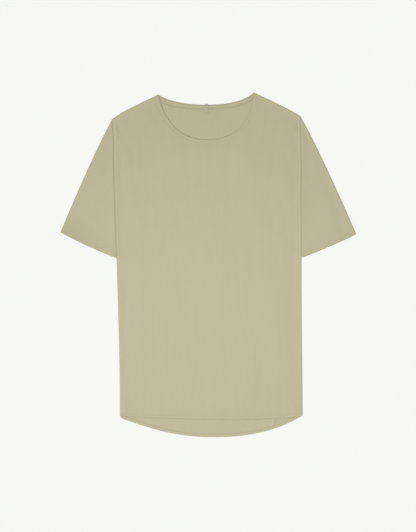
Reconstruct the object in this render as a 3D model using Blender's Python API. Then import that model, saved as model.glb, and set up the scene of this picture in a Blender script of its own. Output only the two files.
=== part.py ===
"""A short-sleeved T-shirt with a wide scoop neck and a long curved tail, laid flat.

It lies on its back with the front up: +Y runs to the neck, +Z is up. Sides are the
wearer's, so the right sleeve is at -X. Sizes are in millimetres, turned to metres
where the vertices are made.
"""

import math

import bmesh
import bpy
import numpy as np
from mathutils import Vector
from mathutils.geometry import interpolate_bezier

MM = 0.001

# Cloth and seams
CLOTH = 1.0            # wall of one layer of jersey
SEAM = 0.3             # gap between pieces that are sewn to each other
HEM_TURN = 7.0         # a hem's second layer, turned up inside
HEM_STEP = 1.0         # length over which that layer ends
FLAT_HEIGHT = 2.9      # top of the shirt where front and back simply lie on each other

# Neck band: a strip folded double, wider inside the back neck
BAND_CLOTH = 2.0
BAND_AT_FRONT = 7.0
BAND_AT_SHOULDER = 8.5
BAND_AT_BACK = 10.4

# Hanging loop in the middle of the back neck
LOOP_WIDTH = 8.6
LOOP_CENTRE = -4.7
LOOP_ABOVE_NECK = 1.8
LOOP_LENGTH = 24.0
LOOP_CLOTH = 1.1
LOOP_STEP = (1.0, 4.5)  # where it steps down below the band, from the band's lower edge

# Landmarks of the laid shirt, seen from above
POINTS = {
    "neck_right": (-118.1, 400.3), "neck_left": (106.8, 405.3),
    "shoulder_right": (-225.9, 342.3), "shoulder_left": (216.8, 348.6),
    "underarm_right": (-215.8, 14.9), "underarm_left": (219.1, 15.4),
    "cuff_right": (-347.7, 76.2), "cuff_left": (347.7, 71.8),
    "hem_right": (-208.1, -355.0), "hem_left": (221.5, -354.5),
    "neck_front": (-2.0, 293.9), "neck_back": (-3.5, 376.3), "tail": (5.1, -405.3),
}

# Edges between them, each one Bezier curve.
# columns: edge, start, handle out of the start, handle into the end, end
EDGES = (
    ("side_right", "hem_right", (1.0, 100.0), (4.2, -140.0), "underarm_right"),
    ("side_left", "hem_left", (0.3, 100.0), (-0.6, -120.0), "underarm_left"),
    ("armhole_right", "underarm_right", (-3.5, 100.0), (3.4, -110.0), "shoulder_right"),
    ("armhole_left", "underarm_left", (0.0, 100.0), (0.6, -110.0), "shoulder_left"),
    ("shoulder_right", "shoulder_right", (28.0, 22.0), (-35.0, -18.5), "neck_right"),
    ("shoulder_left", "shoulder_left", (-22.0, 16.0), (38.0, -18.5), "neck_left"),
    ("sleeve_right", "shoulder_right", (-34.1, -61.3), (35.4, 85.8), "cuff_right"),
    ("sleeve_left", "shoulder_left", (36.2, -63.6), (-38.3, 89.2), "cuff_left"),
    ("cuff_right", "underarm_right", (-41.1, 15.9), (38.7, -21.1), "cuff_right"),
    ("cuff_left", "underarm_left", (43.2, 18.1), (-41.7, -21.5), "cuff_left"),
    ("front_neck_right", "neck_right", (14.0, -57.0), (-71.0, 0.0), "neck_front"),
    ("front_neck_left", "neck_left", (-4.5, -68.0), (68.0, 0.0), "neck_front"),
    ("back_neck_right", "neck_right", (24.0, -16.0), (-49.0, 0.0), "neck_back"),
    ("back_neck_left", "neck_left", (-23.0, -22.0), (46.0, 0.0), "neck_back"),
    ("front_hem", "hem_right", (118.0, -7.0), (-91.0, -14.5), "hem_left"),
    ("back_hem_right", "hem_right", (58.6, -29.0), (-80.0, 0.0), "tail"),
    ("back_hem_left", "hem_left", (-66.0, -40.5), (80.0, -0.6), "tail"),
)
EDGE_STEPS = 96

# Seam between the neck band and each panel, from the shoulder to the middle.
# columns: neck edge beside it, handle out of the shoulder, handle into the middle, width there
NECK_SEAMS = (
    ("front_neck_right", (14.0, -57.0), (-71.0, 0.0), BAND_AT_FRONT),
    ("front_neck_left", (-4.5, -68.0), (68.0, 0.0), BAND_AT_FRONT),
    ("back_neck_right", (15.7, -22.5), (-71.5, 0.0), BAND_AT_BACK),
    ("back_neck_left", (-16.5, -24.6), (63.5, 0.0), BAND_AT_BACK),
)

# What lifts the top surface above FLAT_HEIGHT: seam allowances and doubled hems.
# columns: edge, lift, reach
LIFTS = (
    ("side_right", 1.1, 13.0), ("side_left", 1.1, 13.0),
    ("shoulder_right", 1.2, 14.0), ("shoulder_left", 1.2, 14.0),
    ("sleeve_right", 1.1, 13.0), ("sleeve_left", 1.1, 13.0),
    ("armhole_right", 0.6, 11.0), ("armhole_left", 0.6, 11.0),
    ("cuff_right", 2.0, 20.0), ("cuff_left", 2.0, 20.0),
    ("front_hem", 0.9, 18.0),
    ("front_neck_right", 0.8, 18.0), ("front_neck_left", 0.8, 18.0),
)
# columns: landmark, lift, reach
CORNER_LIFTS = (
    ("hem_right", 2.3, 36.0), ("hem_left", 2.3, 36.0),
    ("neck_right", 2.0, 22.0), ("neck_left", 2.0, 22.0),
    ("underarm_right", 2.2, 16.0), ("underarm_left", 2.2, 16.0),
)
LIFT_BLEND = 4         # power that blends lifts: where they meet, the larger one wins

# Soft waves in the top layer, which fade out towards the seams.
# columns: x and y where it starts, x and y where it ends, half width, height
WAVES = (
    (-196.0, 318.0, -170.0, 120.0, 26.0, 0.9),
    (196.0, 322.0, 176.0, 150.0, 24.0, 1.0),
    (-78.0, 268.0, -120.0, 90.0, 34.0, 0.7),
    (84.0, 262.0, 118.0, 60.0, 36.0, 0.6),
    (-20.0, 180.0, 10.0, -40.0, 42.0, 0.5),
    (-160.0, 20.0, -150.0, -220.0, 30.0, 0.8),
    (158.0, 10.0, 172.0, -240.0, 28.0, 0.9),
    (-70.0, -60.0, -86.0, -300.0, 38.0, 0.6),
    (70.0, -90.0, 60.0, -310.0, 40.0, 0.7),
    (-262.0, 250.0, -292.0, 130.0, 20.0, 0.7),
    (262.0, 236.0, 290.0, 118.0, 20.0, 0.8),
)
WAVE_FADE = 18.0

# Grid lines beside an edge: round a rolled edge by angle, or in from an open edge
ROLL_ANGLES = (0.0, 28.0, 58.0, 90.0)
OPEN_STEPS = (0.0, 0.4, 1.3, 2.6)
BORDER = len(ROLL_ANGLES)

# Grid of a panel: rows are shares of its height, and those of the hem are distances
FRONT_ROWS = (0.06, 0.1, 0.14, 0.18, 0.22, 0.26, 0.3, 0.34, 0.38, 0.42, 0.46, 0.5, 0.53,
              0.534, 0.542, 0.57, 0.61, 0.65, 0.69, 0.73, 0.77, 0.81, 0.85, 0.89, 0.93, 0.965)
BACK_ROWS = (0.08, 0.16, 0.24, 0.32, 0.4, 0.48, 0.53,
             0.534, 0.542, 0.6, 0.68, 0.76, 0.84, 0.92, 0.965)
HEM_ROWS = (0.0, HEM_TURN - HEM_STEP / 2, HEM_TURN + HEM_STEP / 2, 18.0)
DOUBLE_ROWS = 2        # rows that lie on the turned hem
SHOULDER_COLUMNS = (12.0, 32.0, 54.0, 76.0)  # from the shoulder's end towards the neck
NECK_SHARES = (0.02, 0.09, 0.17, 0.25, 0.34, 0.43, 0.53, 0.64, 0.76, 0.88)
UNDERARM_SHARE = 0.53  # height of the underarm in the side edge

# The panel's columns cross the shoulder's roll at a slant, and more so at the armhole,
# where the roll runs on along the sleeve: sines of the two angles, and how far that reaches
SHOULDER_SLANT = 0.89
SLEEVE_SLANT = 0.42
SLANT_FADE = 8.0

# Grid of a sleeve: rings fan out from the armhole to the cuff
SLEEVE_RINGS = 13
SLEEVE_ROWS = 11
SLEEVE_INSET = 5.0     # the first plain row, in from the rolled edges
UNDERARM_SEAM = 3.2    # the underarm seam is very short: the cuff starts beside it
UNDERARM_RISE = 2.6
UNDERARM_SLANT = 0.85  # sine of the angle between the rings and that seam

# Profile of the neck band, whose stations stand at NECK_SHARES beside the panels' columns
BAND_NOSE = 0.12       # share of the band's width that its rounded edge takes
BAND_MIDDLE = 0.55

# Finish
JERSEY = "BCB799"
BAND_JERSEY = "B5B093"
LOOP_TAPE = "B1AC91"
CLOTH_ROUGHNESS = 0.9
SHARP_ANGLE = 50.0


def curve_points(start, leave, arrive, end):
    """Points along one Bezier curve, from its ends and the handles at them."""
    first, last = Vector((*start, 0.0)), Vector((*end, 0.0))
    out, into = first + Vector((*leave, 0.0)), last + Vector((*arrive, 0.0))
    points = interpolate_bezier(first, out, into, last, EDGE_STEPS + 1)
    return np.array([point[:2] for point in points])


def length_along(line):
    """Distance from the first point of a line to each of its points."""
    steps = np.linalg.norm(np.diff(line, axis=0), axis=1)
    return np.concatenate(([0.0], np.cumsum(steps)))


def at_distance(line, distance):
    """The point that lies this far along a line."""
    reached = length_along(line)
    return np.array([np.interp(distance, reached, line[:, axis]) for axis in (0, 1)])


def at_share(line, share):
    return at_distance(line, share * length_along(line)[-1])


EDGE = {name: curve_points(POINTS[start], leave, arrive, POINTS[end])
        for name, start, leave, arrive, end in EDGES}


def neck_seam(layer, side, gap):
    """The line where the neck band ends, or one beside it at a gap, for the panel."""
    leave, arrive, width = next(row[1:] for row in NECK_SEAMS
                                if row[0] == f"{layer}_neck_{side}")
    first = at_distance(EDGE[f"shoulder_{side}"][::-1], BAND_AT_SHOULDER + gap)
    last = np.array(POINTS[f"neck_{layer}"]) - (0.0, width + gap)
    return curve_points(first, leave, arrive, last)


def distance_to(line, x, y):
    """Shortest distance from a place to a line of closely spaced points."""
    return float(np.min(np.hypot(line[:, 0] - x, line[:, 1] - y)))


def distance_to_segment(x, y, x0, y0, x1, y1):
    along = np.array((x1 - x0, y1 - y0))
    share = np.dot((x - x0, y - y0), along) / np.dot(along, along)
    share = min(max(share, 0.0), 1.0)
    return math.hypot(x - x0 - share * along[0], y - y0 - share * along[1])


def bump(distance, reach):
    return math.exp(-(distance / reach) ** 2)


def top_height(x, y):
    """Height of the shirt's upper surface over the floor."""
    gaps = [distance_to(EDGE[name], x, y) for name, lift, reach in LIFTS]
    lifts = [lift * bump(gap, reach) for gap, (name, lift, reach) in zip(gaps, LIFTS)]
    lifts += [lift * bump(math.dist((x, y), POINTS[name]), reach)
              for name, lift, reach in CORNER_LIFTS]
    lift = sum(value ** LIFT_BLEND for value in lifts) ** (1 / LIFT_BLEND)
    wave = sum(height * bump(distance_to_segment(x, y, *ends), width)
               for *ends, width, height in WAVES)
    return FLAT_HEIGHT + lift + wave * (1.0 - bump(min(gaps), WAVE_FADE))


def border_step(index, rolled, edge_point, wall, face):
    """How far in from an edge a grid line lies, and how far round the roll it has come.

    index counts the lines from the edge, and edge_point is the edge's own point beside
    it. The second value goes from 0 at the edge to 1 where the cloth lies flat.
    """
    if not rolled:
        return OPEN_STEPS[index], 1.0
    radius = top_height(*edge_point) / 2
    reach = radius - (wall if face == "inner" else 0.0)
    angle = math.radians(ROLL_ANGLES[index])
    return radius - reach * math.cos(angle), math.sin(angle)


def layer_point(x, y, layer, turn, wall, face, clearance=-math.inf):
    """A point of the front or back layer, which bends to mid-height as turn goes to 0."""
    radius = top_height(x, y) / 2
    reach = radius - (wall if face == "inner" else 0.0)
    lift = 1.0 if layer == "front" else -1.0
    return x, y, radius + lift * max(reach * turn, clearance)


def grid_point(u, v, first, last, bottom, top):
    """A point inside four edges, each a function of its own share (a Coons patch)."""
    between = ((1.0 - v) * bottom(u) + v * top(u)
               + (1.0 - u) * first(v) + u * last(v))
    corners = ((1.0 - u) * (1.0 - v) * bottom(0.0) + u * (1.0 - v) * bottom(1.0)
               + (1.0 - u) * v * top(0.0) + u * v * top(1.0))
    return between - corners


def by_x(line):
    """A line as a function of the share of its reach in X."""
    def at(share):
        x = line[0, 0] + share * (line[-1, 0] - line[0, 0])
        return np.array((x, np.interp(x, line[:, 0], line[:, 1])))
    return at


def body_side(side):
    """The long edge of the body, hem to shoulder, with the underarm at its own share."""
    def at(share):
        line, part = EDGE[f"side_{side}"], share / UNDERARM_SHARE
        if share > UNDERARM_SHARE:
            line = EDGE[f"armhole_{side}"]
            part = (share - UNDERARM_SHARE) / (1.0 - UNDERARM_SHARE)
        y = line[0, 1] + part * (line[-1, 1] - line[0, 1])
        return np.array((np.interp(y, line[:, 1], line[:, 0]), y))
    return at


def panel_top(layer):
    """The panel's upper edge, and its columns: share across, and whether it rolls there."""
    lines, halves = {}, {}
    for side in ("right", "left"):
        seam = neck_seam(layer, side, SEAM)
        shoulder = EDGE[f"shoulder_{side}"]
        reached = length_along(shoulder)
        shoulder = shoulder[reached < reached[-1] - BAND_AT_SHOULDER - SEAM]
        shoulder = np.vstack((shoulder, seam[:1]))
        lines[side] = np.vstack((shoulder, seam[1:]))
        halves[side] = [(at_distance(shoulder, gone)[0], True) for gone in SHOULDER_COLUMNS]
        halves[side].append((seam[0, 0], True))
        halves[side] += [(at_share(seam, share)[0], False) for share in NECK_SHARES]
    middle = lines["right"][-1]
    line = np.vstack((lines["right"], lines["left"][-2::-1]))
    first, last = line[0, 0], line[-1, 0]
    places = halves["right"] + [(middle[0], False)] + halves["left"][::-1]
    inside = [((x - first) / (last - first), rolled) for x, rolled in places]
    columns = [(0.0, True)] * BORDER + inside + [(1.0, True)] * BORDER
    return by_x(line), columns


def panel_grid(layer, rows, hem, face):
    """Points of a panel's outer or inner face, row by row from the hem to the neck."""
    first, last, bottom = body_side("right"), body_side("left"), by_x(hem)
    top, columns = panel_top(layer)
    row_count = len(HEM_ROWS) + len(rows) + BORDER
    grid = []
    for i in range(row_count):
        wall = 2 * CLOTH if i < DOUBLE_ROWS else CLOTH
        grid.append([])
        for j, (u, rolled) in enumerate(columns):
            height = top(u)[1] - bottom(u)[1]
            top_turn = side_turn = 1.0
            if i < len(HEM_ROWS):
                v = HEM_ROWS[i] / height
            elif i < row_count - BORDER:
                v = rows[i - len(HEM_ROWS)]
            else:
                step, top_turn = border_step(row_count - 1 - i, rolled, top(u), wall, face)
                if rolled:
                    armhole = min(abs(top(u)[0] - top(end)[0]) for end in (0.0, 1.0))
                    extra = (SHOULDER_SLANT - SLEEVE_SLANT) * math.exp(-armhole / SLANT_FADE)
                    step /= SHOULDER_SLANT - extra
                v = 1.0 - step / height
            from_side = min(j, len(columns) - 1 - j)
            if from_side < BORDER:
                edge = first if j < BORDER else last
                closed = v <= UNDERARM_SHARE
                step, side_turn = border_step(from_side, closed, edge(v), wall, face)
                share = step / (last(v)[0] - first(v)[0])
                u = share if j < BORDER else 1.0 - share
            x, y = grid_point(u, v, first, last, bottom, top)
            turn = top_turn * side_turn
            grid[-1].append(layer_point(x, y, layer, turn, wall, face, SEAM / 2))
    return grid


def hem_wall(x, y, hem):
    """Wall at a place: two layers on the turned hem, one elsewhere."""
    past = (distance_to(hem, x, y) - HEM_TURN + HEM_STEP / 2) / HEM_STEP
    return CLOTH * (2.0 - min(max(past, 0.0), 1.0))


def line_from(line, start):
    """A line without its first stretch of this length."""
    return np.vstack((at_distance(line, start), line[length_along(line) > start]))


def sleeve_grid(side, face):
    """Rings of a sleeve's outer or inner face, from the armhole to the cuff."""
    outward = np.array((-SEAM if side == "right" else SEAM, 0.0))
    cuff = EDGE[f"cuff_{side}"]
    armhole_part = line_from(EDGE[f"armhole_{side}"] + outward, UNDERARM_RISE)
    cuff_part = line_from(cuff, UNDERARM_SEAM)
    fold = EDGE[f"sleeve_{side}"].copy()
    fold[0] = armhole_part[-1]
    underarm = np.vstack((armhole_part[0], cuff_part[0]))
    edges = [lambda share, line=line: at_share(line, share)
             for line in (armhole_part, cuff_part, underarm, fold)]

    rings = []
    row_count = SLEEVE_ROWS + 2 * BORDER
    for u in np.linspace(0.0, 1.0, SLEEVE_RINGS):
        low, high = edges[2](u), edges[3](u)
        length = np.linalg.norm(high - low)
        ahead = edges[3](min(u + 0.02, 1.0)) - edges[3](max(u - 0.02, 0.0))
        across = (high - low) / length
        slant = abs(across[0] * ahead[1] - across[1] * ahead[0]) / np.linalg.norm(ahead)
        layers = {"front": [], "back": []}
        for k in range(row_count):
            turn = 1.0
            from_fold = min(k, row_count - 1 - k)
            if from_fold < BORDER:
                end = low if k < BORDER else high
                step, turn = border_step(from_fold, True, end, hem_wall(*end, cuff), face)
                v = step / length / (UNDERARM_SLANT if k < BORDER else slant)
                v = v if k < BORDER else 1.0 - v
            else:
                part = (k - BORDER + 1.0) / (SLEEVE_ROWS + 1.0)
                inset = SLEEVE_INSET / length
                v = inset + part * (1.0 - 2.0 * inset)
            x, y = grid_point(u, v, *edges)
            wall = hem_wall(x, y, cuff)
            for layer in layers:
                layers[layer].append(layer_point(x, y, layer, turn, wall, face))
        rings.append(layers["front"] + layers["back"][-2:0:-1])
    return rings


def band_station(layer, neck, seam, index, share):
    """The neck band's profile at one place, seven points round it from its free edge.

    index counts the places round the fold at the shoulder, and is None past them.
    """
    profile = {}
    for face in ("outer", "inner"):
        turn, part = 1.0, share
        if index is not None:
            step, turn = border_step(index, True, neck[0], BAND_CLOTH, face)
            part = step / length_along(neck)[-1]
        edge, sewn = at_share(neck, part), at_share(seam, part)
        for across in (0.0, BAND_NOSE, BAND_MIDDLE, 1.0):
            x, y = edge + across * (sewn - edge)
            profile[face, across] = layer_point(x, y, layer, turn, BAND_CLOTH, face)
    nose = (np.array(profile["outer", 0.0]) + np.array(profile["inner", 0.0])) / 2
    places = [("outer", BAND_NOSE), ("outer", BAND_MIDDLE), ("outer", 1.0),
              ("inner", 1.0), ("inner", BAND_MIDDLE), ("inner", BAND_NOSE)]
    return np.array([nose] + [profile[place] for place in places])


def band_half(layer, side):
    """Profiles from the fold at one shoulder to the middle of the front or back neck."""
    lines = EDGE[f"{layer}_neck_{side}"], neck_seam(layer, side, 0.0)
    folded = [band_station(layer, *lines, index, 0.0) for index in range(BORDER)]
    return folded + [band_station(layer, *lines, None, share) for share in NECK_SHARES + (1.0,)]


def linear(colour):
    """Linear RGB of an sRGB hex colour."""
    values = [int(colour[k:k + 2], 16) / 255 for k in (0, 2, 4)]
    return [v / 12.92 if v <= 0.04045 else ((v + 0.055) / 1.055) ** 2.4 for v in values]


def cloth_material(name, colour):
    material = bpy.data.materials.new(f"{name}_cloth")
    material.use_nodes = True
    shader = material.node_tree.nodes["Principled BSDF"]
    shader.inputs["Base Color"].default_value = (*linear(colour), 1.0)
    shader.inputs["Roughness"].default_value = CLOTH_ROUGHNESS
    shader.inputs["Metallic"].default_value = 0.0
    return material


def mesh_object(name, build, colour):
    """An object from a function that fills a bmesh in millimetres."""
    shape = bmesh.new()
    build(shape)
    bmesh.ops.scale(shape, vec=(MM, MM, MM), verts=shape.verts)
    bmesh.ops.recalc_face_normals(shape, faces=shape.faces)
    mesh = bpy.data.meshes.new(name)
    shape.to_mesh(mesh)
    shape.free()
    mesh.shade_smooth()
    mesh.set_sharp_from_angle(angle=math.radians(SHARP_ANGLE))
    mesh.materials.append(cloth_material(name, colour))
    bpy.context.collection.objects.link(bpy.data.objects.new(name, mesh))


def add_grid(shape, points, closed):
    """Vertices and quads of a grid, its rows closed into rings where asked."""
    verts = [[shape.verts.new(point) for point in row] for row in points]
    for lower, upper in zip(verts, verts[1:]):
        add_strip(shape, lower, upper, closed)
    return verts


def add_strip(shape, first, second, closed):
    """A strip of quads between two matching rows of vertices."""
    count = len(first)
    for j in range(count if closed else count - 1):
        k = (j + 1) % count
        shape.faces.new((first[j], first[k], second[k], second[j]))


def build_panel(layer, rows, hem):
    """A panel's two faces and the wall round their borders."""
    def border(verts):
        return (verts[0] + [row[-1] for row in verts[1:]]
                + verts[-1][-2::-1] + [row[0] for row in verts[-2:0:-1]])

    def build(shape):
        outer, inner = (add_grid(shape, panel_grid(layer, rows, hem, face), False)
                        for face in ("outer", "inner"))
        add_strip(shape, border(outer), border(inner), True)
    return build


def build_sleeve(side):
    """A sleeve: a flat tube, open at the armhole and at the cuff."""
    def build(shape):
        outer, inner = (add_grid(shape, sleeve_grid(side, face), True)
                        for face in ("outer", "inner"))
        for end in (0, -1):
            add_strip(shape, outer[end], inner[end], True)
    return build


def build_band(shape):
    """The band: round the front neck, over a shoulder, round the back and over the other."""
    half = {(layer, side): band_half(layer, side)
            for layer in ("front", "back") for side in ("right", "left")}
    for side in ("right", "left"):
        fold = (half["front", side][0] + half["back", side][0]) / 2
        half["front", side][0] = half["back", side][0] = fold
    ring = (half["front", "right"] + half["front", "left"][-2::-1]
            + half["back", "left"][1:] + half["back", "right"][-2:0:-1])
    verts = add_grid(shape, ring, True)
    add_strip(shape, verts[-1], verts[0], True)


def build_loop(shape):
    """The loop: a flat tape over the band's inner face, stepping down onto the back."""
    top = POINTS["neck_back"][1] + LOOP_ABOVE_NECK
    band_end = POINTS["neck_back"][1] - BAND_AT_BACK
    stations = ((top, BAND_CLOTH), (band_end - LOOP_STEP[0], BAND_CLOTH),
                (band_end - LOOP_STEP[1], CLOTH), (top - LOOP_LENGTH, CLOTH))
    rows = []
    for y, carrier in stations:
        low, high = carrier + SEAM, carrier + SEAM + LOOP_CLOTH
        first, last = LOOP_CENTRE - LOOP_WIDTH / 2, LOOP_CENTRE + LOOP_WIDTH / 2
        rows.append([(first, y, low), (last, y, low), (last, y, high), (first, y, high)])
    verts = add_grid(shape, rows, True)
    for end in (0, -1):
        shape.faces.new(verts[end])


def main():
    for item in list(bpy.data.objects):
        bpy.data.objects.remove(item, do_unlink=True)
    back_hem = np.vstack((EDGE["back_hem_right"], EDGE["back_hem_left"][-2::-1]))
    mesh_object("front", build_panel("front", FRONT_ROWS, EDGE["front_hem"]), JERSEY)
    mesh_object("back", build_panel("back", BACK_ROWS, back_hem), JERSEY)
    for side in ("right", "left"):
        mesh_object(f"sleeve_{side}", build_sleeve(side), JERSEY)
    mesh_object("neck_band", build_band, BAND_JERSEY)
    mesh_object("hanging_loop", build_loop, LOOP_TAPE)


main()
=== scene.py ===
# %% [markdown]
# # A T-shirt laid flat
#
# This lesson dresses the solids of a long T-shirt in cotton jersey. The shirt lies on its
# back on a pale floor, its neck towards +Y, and is seen from straight above. Sides are the
# wearer's, so the right sleeve is at -X. Sizes are in millimetres and become metres only
# where a mesh is made.

# %% Load the solids that everything is fitted to
import math

import bpy
import numpy as np
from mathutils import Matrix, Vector
from mathutils.geometry import interpolate_bezier


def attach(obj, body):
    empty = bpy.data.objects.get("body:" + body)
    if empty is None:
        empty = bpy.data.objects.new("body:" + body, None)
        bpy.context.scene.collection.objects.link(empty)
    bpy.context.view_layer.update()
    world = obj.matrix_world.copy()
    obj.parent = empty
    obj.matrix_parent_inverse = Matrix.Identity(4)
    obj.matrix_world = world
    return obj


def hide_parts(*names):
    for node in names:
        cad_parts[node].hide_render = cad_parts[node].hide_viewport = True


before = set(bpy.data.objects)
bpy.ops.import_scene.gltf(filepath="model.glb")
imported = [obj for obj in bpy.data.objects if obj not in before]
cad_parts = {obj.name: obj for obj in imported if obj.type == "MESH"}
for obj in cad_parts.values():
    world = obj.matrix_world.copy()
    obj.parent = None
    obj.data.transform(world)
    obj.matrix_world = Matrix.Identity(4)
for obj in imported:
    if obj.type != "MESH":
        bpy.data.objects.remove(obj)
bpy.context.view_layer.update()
MM = 0.001
print("solids:", ", ".join(sorted(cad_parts)))

# %% [markdown]
# ## The pattern
#
# Every piece of a T-shirt is cut along a few long, easy curves, so the outline needs only
# the landmarks where those curves meet and a handle at each end. One Bezier curve an edge
# is what a pattern maker's French curve draws, and it keeps the edge smooth at any number
# of points. The same landmarks shaped the solids, so the cloth leaves their edges by 4 mm
# at most.

# %% Landmarks and edges of the laid shirt, seen from above
POINTS = {
    "neck_right": (-118.1, 400.3), "neck_left": (106.8, 405.3),
    "shoulder_right": (-225.9, 342.3), "shoulder_left": (216.8, 348.6),
    "underarm_right": (-215.8, 14.9), "underarm_left": (219.1, 15.4),
    "cuff_right": (-347.7, 76.2), "cuff_left": (347.7, 71.8),
    "hem_right": (-208.1, -355.0), "hem_left": (221.5, -354.5),
    "neck_front": (-2.0, 293.9), "neck_back": (-3.5, 376.3), "tail": (5.1, -405.3),
}
SIDES = ("right", "left")
LAYERS = ("front", "back")
# columns: edge on either side, where it starts, where it ends, and for the right and then
# the left side the handle out of its start and the handle into its end
EDGES = (
    ("side", "hem", "underarm", ((1, 100), (4.2, -140)), ((0.3, 100), (-0.6, -120))),
    ("armhole", "underarm", "shoulder", ((-3.5, 100), (3.4, -110)), ((0, 100), (0.6, -110))),
    ("shoulder", "shoulder", "neck", ((28, 22), (-35, -18.5)), ((-22, 16), (38, -18.5))),
    ("sleeve", "shoulder", "cuff", ((-34.1, -61.3), (35.4, 85.8)), ((36.2, -63.6), (-38.3, 89.2))),
    ("cuff", "underarm", "cuff", ((-41.1, 15.9), (38.7, -21.1)), ((43.2, 18.1), (-41.7, -21.5))),
    ("front_neck", "neck", "neck_front", ((14, -57), (-71, 0)), ((-4.5, -68), (68, 0))),
    ("back_neck", "neck", "neck_back", ((24, -16), (-49, 0)), ((-23, -22), (46, 0))),
    ("back_hem", "hem", "tail", ((58.6, -29), (-80, 0)), ((-66, -40.5), (80, -0.6))),
)
FRONT_HEM = ((118, -7), (-91, -14.5))   # the same two handles, from the right corner
EDGE_STEPS = 64


def curve_points(start, leave, arrive, end):
    """Points along one Bezier curve, from its ends and the handles at them."""
    first, last = Vector((*start, 0.0)), Vector((*end, 0.0))
    out, into = first + Vector((*leave, 0.0)), last + Vector((*arrive, 0.0))
    points = interpolate_bezier(first, out, into, last, EDGE_STEPS + 1)
    return np.array([point[:2] for point in points])


EDGE = {"front_hem": curve_points(POINTS["hem_right"], *FRONT_HEM, POINTS["hem_left"])}
for name, start, end, *handles in EDGES:
    for side, (leave, arrive) in zip(SIDES, handles):
        first, last = (POINTS.get(f"{point}_{side}") or POINTS[point] for point in (start, end))
        EDGE[f"{name}_{side}"] = curve_points(first, leave, arrive, last)
print(f"{len(EDGE)} pattern edges")

# %% [markdown]
# ## Measuring along a line
#
# A tailor's tape is the tool for the rest: how long an edge is, the point that lies some
# way along it, and how far a place is from it. Each helper takes whole arrays of places,
# because a sheet of cloth here has tens of thousands of points.

# %% A tape measure for lines
def length_along(line):
    """Distance from the first point of a line to each of its points."""
    steps = np.linalg.norm(np.diff(line, axis=0), axis=1)
    return np.concatenate(([0.0], np.cumsum(steps)))


def at_distance(line, distance):
    """The points that lie these distances along a line."""
    reached = length_along(line)
    return np.stack([np.interp(distance, reached, line[:, k]) for k in (0, 1)], axis=-1)


def at_share(line, share):
    return at_distance(line, np.asarray(share) * length_along(line)[-1])


def line_from(line, start):
    """A line without its first stretch of this length."""
    return np.vstack((at_distance(line, start), line[length_along(line) > start]))


def distance_to(line, places, far=60.0):
    """Distance from each place to a line's straight pieces, or far where it is further."""
    close = np.all((places > line.min(axis=0) - far) & (places < line.max(axis=0) + far), axis=-1)
    start, step = line[:-1], np.diff(line, axis=0)
    away = places[close][:, None, :] - start
    part = (away * step).sum(-1) / (step ** 2).sum(-1)
    nearest = away - np.clip(part, 0.0, 1.0)[..., None] * step
    found = np.full(places.shape[:-1], far)
    found[close] = np.minimum(np.sqrt((nearest ** 2).sum(-1)).min(-1), far)
    return found


def beside(line, offset):
    """A line moved sideways, to the left of its own direction, by one offset or by many."""
    along = np.gradient(line, axis=0)
    along /= np.linalg.norm(along, axis=1)[:, None]
    sideways = np.stack((-along[:, 1], along[:, 0]), axis=1)
    return line + np.broadcast_to(offset, len(line))[:, None] * sideways


half_chest = POINTS["underarm_left"][0] - POINTS["underarm_right"][0]
print(f"half chest {half_chest:.0f} mm, cuff {length_along(EDGE['cuff_left'])[-1]:.0f} mm")

# %% [markdown]
# ## Where the neck band ends
#
# The band is a strip folded double round the neck. It is narrow in front, where the photo
# shows its seam close to the edge, and wider inside the back neck. Its seam is drawn as one
# more curve beside each neck edge, with a gap for the panel that is sewn to it.

# %% Seam lines round the neck
SEAM = 0.03            # gap between pieces that are sewn to each other
BAND_AT_FRONT = 7.0
BAND_AT_SHOULDER = 8.5
BAND_AT_BACK = 10.4
# the handle out of the shoulder, the handle into the middle, and the width there
NECK_SEAMS = {
    ("front", "right"): ((14, -57), (-71, 0), BAND_AT_FRONT),
    ("front", "left"): ((-4.5, -68), (68, 0), BAND_AT_FRONT),
    ("back", "right"): ((15.7, -22.5), (-71.5, 0), BAND_AT_BACK),
    ("back", "left"): ((-16.5, -24.6), (63.5, 0), BAND_AT_BACK),
}


def neck_seam(layer, side, gap):
    """The line where the neck band ends, or one beside it at a gap, for the panel."""
    leave, arrive, width = NECK_SEAMS[layer, side]
    first = at_distance(EDGE[f"shoulder_{side}"][::-1], BAND_AT_SHOULDER + gap)
    last = np.array(POINTS[f"neck_{layer}"]) - (0.0, width + gap)
    return curve_points(first, leave, arrive, last)


for layer in LAYERS:
    around = sum(length_along(neck_seam(layer, side, 0.0))[-1] for side in SIDES)
    print(f"{layer} neck seam {around:.0f} mm")

# %% [markdown]
# ## How high the cloth lies
#
# Two layers of jersey lie on each other, a few millimetres high. Seam allowances and turned
# hems lift the top layer beside an edge, and where the cloth has been smoothed by hand it
# keeps long, very low waves. Both are sums of smooth bumps, which is how a height field is
# modelled without a simulation: the cloth was pressed flat, so gravity has nothing to do.

# %% Lifts, waves and creases
FLAT_HEIGHT = 2.9      # top of the shirt where front and back simply lie on each other
LIFT_BLEND = 4         # power that blends lifts: where they meet, the larger one wins
WAVE_FADE = 18.0       # waves die away this near to a lifted edge
NECK_SAG = (0.6, 16.0)  # the front neck sinks onto the back: how far, and how wide
# columns: edge on either side, lift, reach
SIDE_LIFTS = (("side", 1.1, 13.0), ("shoulder", 1.2, 14.0), ("sleeve", 1.1, 13.0),
              ("armhole", 0.6, 11.0), ("cuff", 2.0, 20.0), ("front_neck", 0.1, 18.0))
LIFTS = [("front_hem", 0.9, 18.0)] + [(f"{edge}_{side}", lift, reach)
                                      for edge, lift, reach in SIDE_LIFTS for side in SIDES]
# columns: landmark on either side, lift, reach
CORNER_LIFTS = (("hem", 2.3, 36.0), ("neck", 2.0, 22.0), ("underarm", 2.2, 16.0))
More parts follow.
